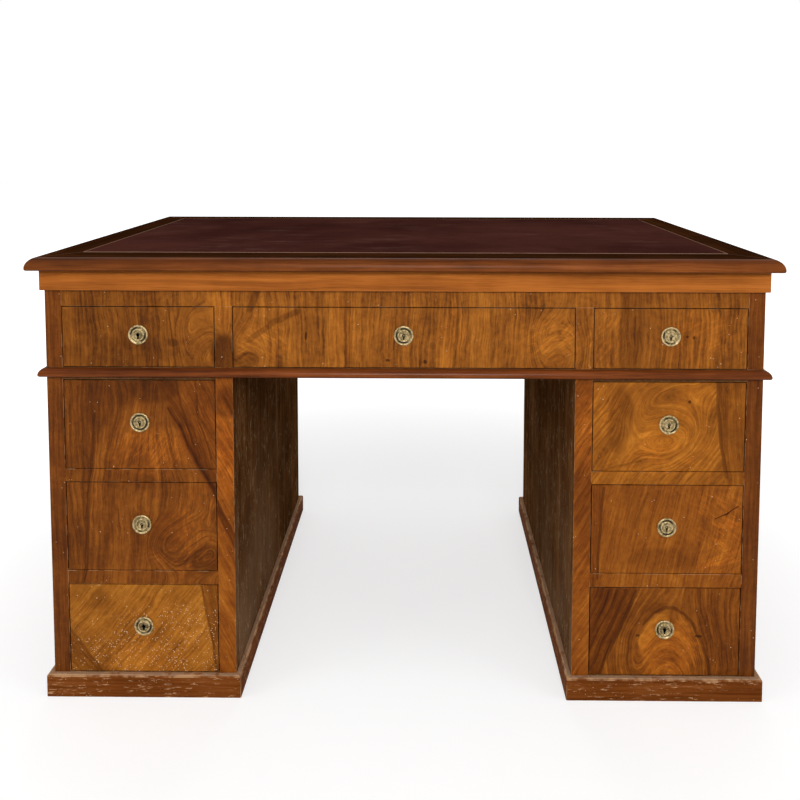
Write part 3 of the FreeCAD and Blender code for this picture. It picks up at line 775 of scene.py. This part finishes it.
def dress(node, ease, look, choose=None, upright=False):
    """Replaces a node by its eased copy. choose names a solid's finish from its middle and its span."""
    bm = eased_copy(node, ease, upright=upright)
    looks = [look]
    if choose:
        solid = bm.faces.layers.int["solid"]
        corners = {}
        for face in bm.faces:
            corners.setdefault(face[solid], []).extend(vert.co for vert in face.verts)
        picked = {}
        for number, points in corners.items():
            low = Vector([min(p[axis] for p in points) for axis in range(3)])
            high = Vector([max(p[axis] for p in points) for axis in range(3)])
            picked[number] = choose((low + high) / 2, high - low)
        looks = sorted(set(picked.values()))
        for face in bm.faces:
            face.material_index = looks.index(picked[face[solid]])
    return finished(node + "_wood", bm, body_of_node[node], looks, node)


def refaced(piece, look, chosen):
    """Gives another finish to those faces of a piece that are chosen."""
    mesh = piece.data
    mesh.materials.append(finishes[look])
    for polygon in mesh.polygons:
        if chosen(polygon):
            polygon.material_index = len(mesh.materials) - 1


# Places that tell the parts of the face frames from each other
FRIEZE_END_X = 0.58
PEDESTAL_MIDDLE_X = 0.5
STILE_HEIGHT = 0.4
UPPER_RAIL_Z = 0.3

# How squarely a face looks one way, to count as that side of its piece
SQUARE = 0.9
LEVEL = 0.98


def frieze_look(middle, span):
    return "outer_stile" if abs(middle.x) > FRIEZE_END_X else "frieze"


def pedestal_look(side):
    """Chooser of the veneer on the face frame of one pedestal."""
    def look(middle, span):
        if span.z > STILE_HEIGHT:
            return "outer_stile" if abs(middle.x) > PEDESTAL_MIDDLE_X else side + "_inner_stile"
        if side == "left":
            return "left_pedestal"
        return "right_upper" if middle.z > UPPER_RAIL_Z else "right_middle"
    return look


def in_kneehole(polygon):
    return abs(polygon.normal.x) > SQUARE and abs(polygon.center.x) < KNEEHOLE_HALF + MM


def looks_up(polygon):
    return polygon.normal.z > LEVEL


def looks_back(polygon):
    return polygon.normal.y > SQUARE


dress("frieze_face_frame", THIN_EASE, "frieze", frieze_look)
for side in ("left", "right"):
    stiles = dress(side + "_face_frame", THIN_EASE, "outer_stile", pedestal_look(side))
    refaced(stiles, "kneehole", in_kneehole)
    dress(side + "_outer_side", BOARD_EASE, "side", upright=True)
    dress(side + "_inner_side", BOARD_EASE, "kneehole", upright=True)
    dress(side + "_back", BOARD_EASE, "back", upright=True)
    dress(side + "_plinth", PLINTH_EASE, "plinth")
    dress(side + "_boards", THIN_EASE, "carcass")
dress("frieze_ends", BOARD_EASE, "side")
dress("frieze_back", BOARD_EASE, "back")
dress("frieze_bottom", THIN_EASE, "carcass")
dress("fascia_band", FRONT_EASE, "fascia")
dress("waist_moulding", BOARD_EASE, "moulding")
refaced(dress("top_border", BOARD_EASE, "border_nose"), "border", looks_up)
for node in ("top_panel", "frieze_dividers", "drawer_runners", "locating_blocks"):
    dress(node, THIN_EASE, "carcass")


# Drawers with their locks

drawer_looks = {
    "frieze_left": "frieze", "frieze_centre": "frieze", "frieze_right": "frieze",
    "left_upper": "left_pedestal", "left_middle": "left_pedestal", "left_lower": "left_lower",
    "right_upper": "right_upper", "right_middle": "right_middle", "right_lower": "right_lower",
}

# Turned section of an escutcheon from its rim to its boss: radius and height in millimetres, and its dirt
escutcheon_section = (
    (17.0, 0.0, 0.6), (17.0, 1.2, 0.2), (16.5, 2.0, 0.0), (15.4, 2.4, 0.0), (14.3, 2.0, 0.1),
    (13.6, 1.1, 0.8), (12.6, 0.8, 1.0), (11.6, 0.8, 1.0), (10.9, 1.2, 0.7), (10.5, 2.1, 0.1),
    (9.8, 2.7, 0.0), (8.9, 2.7, 0.0), (8.5, 2.1, 0.3), (8.2, 1.7, 0.6),
)
ESCUTCHEON_TURNS = 48
KEYHOLE_SIDES = 20
KEYHOLE_RADIUS = 3.0 * MM
KEYHOLE_SHOULDER = 2.5 * MM
KEYHOLE_DROP = 7.0 * MM
KEYHOLE_FLARE = 1.25
KEYHOLE_LET_IN = 0.3 * MM
KEYHOLE_RISE = 24 * MM

PIN_TURNS = 12
PIN_RADIUS = 1.2 * MM
PIN_SHOULDER = 0.5 * MM
PIN_TIP_RADIUS = 0.8 * MM
PIN_TIP_DOME = 0.1 * MM
PIN_PROUD = 1.2 * MM
PIN_DEPTH = 14 * MM

# Section of a screw head in millimetres: radius and height
screw_section = ((0.0, 0.0), (2.6, 0.0), (2.5, 0.25), (1.6, 0.45), (0.0, 0.5))
SCREW_TURNS = 14
SCREW_SPREAD = 30 * MM
LOWER_SCREW_INSET = 6 * MM
UPPER_SCREW_INSET = 8 * MM


def turned(bm, section, centre, turns):
    """Turns a row of points round the line that runs from front to back through the centre."""
    edges = [bm.edges.new(pair) for pair in zip(section, section[1:])]
    bmesh.ops.spin(
        bm, geom=section + edges, cent=centre, axis=(0, 1, 0), angle=math.tau, steps=turns,
        use_merge=True, use_duplicate=False,
    )


def drawn_out(bm, edges):
    """Points of a wall drawn out from open edges."""
    wall = bmesh.ops.extrude_edge_only(bm, edges=edges)["geom"]
    return [item for item in wall if isinstance(item, bmesh.types.BMVert)]


def escutcheon(bm, x, z, face_y):
    """Turned disc with a rim, a groove and a boss, which the keyhole pierces."""
    groove = bm.verts.layers.float.new("groove")
    section = []
    for radius, height, dark in escutcheon_section:
        vert = bm.verts.new((x + radius * MM, face_y - height * MM, z))
        vert[groove] = dark
        section.append(vert)
    turned(bm, section, (x, face_y, z), ESCUTCHEON_TURNS)
    boss_y = face_y - escutcheon_section[-1][1] * MM
    inner = [e for e in bm.edges if e.is_boundary and all(abs(v.co.y - boss_y) < MERGE for v in e.verts)]
    turn = Matrix.Translation((x, boss_y, z)) @ Matrix.Rotation(math.radians(90), 4, "X")
    ring = bmesh.ops.create_circle(bm, segments=KEYHOLE_SIDES, radius=KEYHOLE_RADIUS, matrix=turn)
    hole = ring["verts"]
    for vert in hole:
        if vert.co.z < z - KEYHOLE_SHOULDER:
            vert.co.z = z - KEYHOLE_DROP
            vert.co.x = x + (vert.co.x - x) * KEYHOLE_FLARE
    rim = list({edge for vert in hole for edge in vert.link_edges})
    bmesh.ops.bridge_loops(bm, edges=inner + rim)
    deep = drawn_out(bm, rim)
    bmesh.ops.translate(bm, verts=deep, vec=(0, -boss_y + face_y + KEYHOLE_LET_IN, 0))
    for vert in deep:
        vert[groove] = 1.0
    bmesh.ops.bridge_loops(bm, edges=[edge for edge in bm.edges if edge.is_boundary])


def key_pin(bm, x, z, tip_y, foot_y):
    """Round pin in the keyhole, with a domed tip, which a pipe key turns on."""
    shoulder_y, dome_y = tip_y + PIN_SHOULDER, tip_y + PIN_TIP_DOME
    profile = (
        (0, foot_y), (PIN_RADIUS, foot_y), (PIN_RADIUS, shoulder_y), (PIN_TIP_RADIUS, dome_y), (0, tip_y),
    )
    section = [bm.verts.new((x + radius, y, z)) for radius, y in profile]
    turned(bm, section, (x, tip_y, z), PIN_TURNS)


def screw_head(bm, x, y, z):
    """Slightly domed countersunk head on the back of a lock case."""
    section = [bm.verts.new((x + radius * MM, y + height * MM, z)) for radius, height in screw_section]
    turned(bm, section, (x, y, z), SCREW_TURNS)


def close_up(bm):
    bmesh.ops.remove_doubles(bm, verts=bm.verts, dist=MERGE)
    bmesh.ops.recalc_face_normals(bm, faces=bm.faces)


def fit_lock(drawer):
    """Escutcheon and key pin on a drawer front, the lock case behind it with its screws, and the bolt."""
    body, lock, bolt = drawer + "_drawer", drawer + "_lock", drawer + "_bolt"
    face_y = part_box(drawer + "_drawer_front")[0].y
    lock_low, lock_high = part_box(lock)
    x = (lock_low.x + lock_high.x) / 2
    z = lock_low.z + KEYHOLE_RISE
    plate = bmesh.new()
    escutcheon(plate, x, z, face_y)
    key_pin(plate, x, z, face_y - PIN_PROUD, face_y + PIN_DEPTH)
    close_up(plate)
    finished(drawer + "_escutcheon", plate, body, ["brass"], lock)
    case = eased_copy(lock, THIN_EASE, keep=0)
    heads = bmesh.new()
    for side in (-1, 1):
        for height in (lock_low.z + LOWER_SCREW_INSET, lock_high.z - UPPER_SCREW_INSET):
            screw_head(heads, x + side * SCREW_SPREAD, lock_high.y, height)
    close_up(heads)
    loose = bpy.data.meshes.new("screw_heads")
    heads.to_mesh(loose)
    heads.free()
    case.from_mesh(loose)
    finished(drawer + "_lock_case", case, body, ["lock"])
    finished(drawer + "_bolt_iron", eased_copy(bolt, THIN_EASE), bolt, ["iron"], bolt)


for drawer, look in drawer_looks.items():
    refaced(dress(drawer + "_drawer_front", FRONT_EASE, look), "carcass", looks_back)
    dress(drawer + "_drawer_box", LINING_EASE, "drawer_box")
    fit_lock(drawer)


# Leather

LEATHER_ROWS = (120, 60)
LEATHER_SINK = 0.3 * MM
LEATHER_WAVE = 0.22 * MM
LEATHER_WAVES = (5.0, 7.0)
LEATHER_WAVE_CUT = 3.1
LEATHER_EDGE = 0.5 * MM
LEATHER_EDGE_STEPS = 3


def leather_sheet():
    """Leather glued down on the panel: hardly waved, with its edge pared and pressed down."""
    low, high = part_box("leather_inset")
    half_x, half_y = (high.x - low.x) / 2, (high.y - low.y) / 2
    finishes["leather"] = old_leather(half_x, half_y)
    bm = bmesh.new()
    bmesh.ops.create_grid(bm, x_segments=LEATHER_ROWS[0], y_segments=LEATHER_ROWS[1], size=1.0)
    bmesh.ops.scale(bm, vec=(half_x, half_y, 1.0), verts=bm.verts)
    bmesh.ops.translate(bm, vec=(0, 0, high.z - LEATHER_SINK), verts=bm.verts)
    for vert in bm.verts:
        wave_place = (vert.co.x * LEATHER_WAVES[0], vert.co.y * LEATHER_WAVES[1], LEATHER_WAVE_CUT)
        vert.co.z += soft_noise.noise(Vector(wave_place)) * LEATHER_WAVE
    rim = [edge for edge in bm.edges if edge.is_boundary]
    for vert in drawn_out(bm, rim):
        vert.co.z = low.z
    bevelled(bm, rim, LEATHER_EDGE, LEATHER_EDGE_STEPS)
    bmesh.ops.edgeloop_fill(bm, edges=[edge for edge in bm.edges if edge.is_boundary])
    bmesh.ops.recalc_face_normals(bm, faces=bm.faces)
    piece = finished("leather_top", bm, "carcass", ["leather"], "leather_inset")


leather_sheet()


# Stage: a white floor that keeps a soft shadow, white surroundings, lamps and the camera

FLOOR_HALF = 14.0
FLOOR_SQUARES = 4
FLOOR_GREYS = (tone(188, 188, 188), tone(191, 191, 191))
SHADOW_REACH = (0.6, 2.2)
SHADOW_FILL = tint(0.53, 0.53, 0.53)
ROOM_GREY = tint(0.5, 0.5, 0.5)
WHITE = tint(1, 1, 1)

# Lamps: name, place, the point that it faces, width and height, and power in watts
lamps = (
    ("front_softbox", (0.05, -3.4, 2.3), (0, 0, 0.45), (1.4, 0.9), 80.0),
    ("left_softbox", (-3.4, -1.6, 2.2), (0, 0, 0.4), (1.8, 1.8), 26.0),
    ("right_softbox", (3.4, -1.6, 2.2), (0, 0, 0.4), (1.8, 1.8), 24.0),
    ("back_softbox", (0.0, 4.2, 2.6), (0, 0, 0.4), (2.6, 1.6), 40.0),
)

# Eye of the photograph. The focal length is in pixels of a picture of that width, the turns are radians
PICTURE_WIDTH = 800.0
FOCAL_LENGTH = 753.8
FILM_WIDTH = 36.0
EYE_SHIFT = (-0.024, -0.27)
EYE_PLACE = (0.0364, -1.6019, 0.9820)
EYE_HEADING = 0.0081
EYE_DIP = 0.0602
EYE_ROLL = 0.0018


def seen_rays(start):
    """1 for rays from the eye, and for those that a polished or clear surface sends on."""
    kinds = ("Is Camera Ray", "Is Glossy Ray", "Is Transmission Ray")
    straight, mirrored, passed = start.node("ShaderNodeLightPath", {}, {}, kinds)
    return straight.most(mirrored).most(passed)


def floor_finish():
    """White floor. Near the desk less white is filled in, which paints shade round the desk, and the desk's
    cast shadow shows in it.
    """
    finish, start = new_finish("studio_floor")
    place = object_place(start)
    x, y = split(place)[:2]
    # Painted shade: the white filled in is lower near the desk, so the floor greys there.
    away = rise((x * x + y * y) ** 0.5, *SHADOW_REACH)
    grey = mixed(noise(place, 30.0, 3.0), *FLOOR_GREYS)
    paint = start.node("ShaderNodeBsdfDiffuse", {}, {"Color": grey})
    fill = start.node("ShaderNodeEmission", {}, {"Color": mixed(away, SHADOW_FILL, WHITE)})
    seen = start.node("ShaderNodeAddShader", {}, {0: paint, 1: fill})
    shown = start.node("ShaderNodeMixShader", {}, {"Fac": seen_rays(start), 1: paint, 2: seen})
    start.node("ShaderNodeOutputMaterial", {}, {"Surface": shown})
    return finish


def lay_floor():
    bm = bmesh.new()
    bmesh.ops.create_grid(bm, x_segments=FLOOR_SQUARES, y_segments=FLOOR_SQUARES, size=FLOOR_HALF)
    floor = made("studio_floor", bm)
    floor.data.materials.append(floor_finish())


def surround(scene):
    """Room that is white to the eye and lights the desk at half of that."""
    scene.world = bpy.data.worlds.new("studio_surroundings")
    scene.world.use_nodes = True
    scene.world.node_tree.nodes.clear()
    start = Wire(scene.world.node_tree)
    room = start.node("ShaderNodeBackground", {}, {"Color": mixed(seen_rays(start), ROOM_GREY, WHITE)})
    start.node("ShaderNodeOutputWorld", {}, {"Surface": room})


def hang_lamps(scene):
    for name, place, aim, size, power in lamps:
        lamp = bpy.data.lights.new(name, "AREA")
        lamp.shape = "RECTANGLE"
        lamp.size, lamp.size_y = size
        lamp.energy = power
        light = bpy.data.objects.new(name, lamp)
        light.location = place
        light.rotation_euler = (Vector(aim) - Vector(place)).to_track_quat("-Z", "Y").to_euler()
        scene.collection.objects.link(light)


def set_camera(scene):
    eye = bpy.data.cameras.new("photograph_eye")
    eye.sensor_width = FILM_WIDTH
    eye.lens = FOCAL_LENGTH * FILM_WIDTH / PICTURE_WIDTH
    eye.shift_x, eye.shift_y = EYE_SHIFT
    camera = bpy.data.objects.new("photograph_eye", eye)
    heading = Matrix.Rotation(EYE_HEADING, 4, "Z")
    dip = Matrix.Rotation(math.pi / 2 - EYE_DIP, 4, "X")
    roll = Matrix.Rotation(EYE_ROLL, 4, "Z")
    camera.matrix_world = Matrix.Translation(EYE_PLACE) @ heading @ dip @ roll
    scene.collection.objects.link(camera)
    scene.camera = camera


bpy.context.scene.view_settings.view_transform = "Standard"
lay_floor()
surround(bpy.context.scene)
hang_lamps(bpy.context.scene)
set_camera(bpy.context.scene)
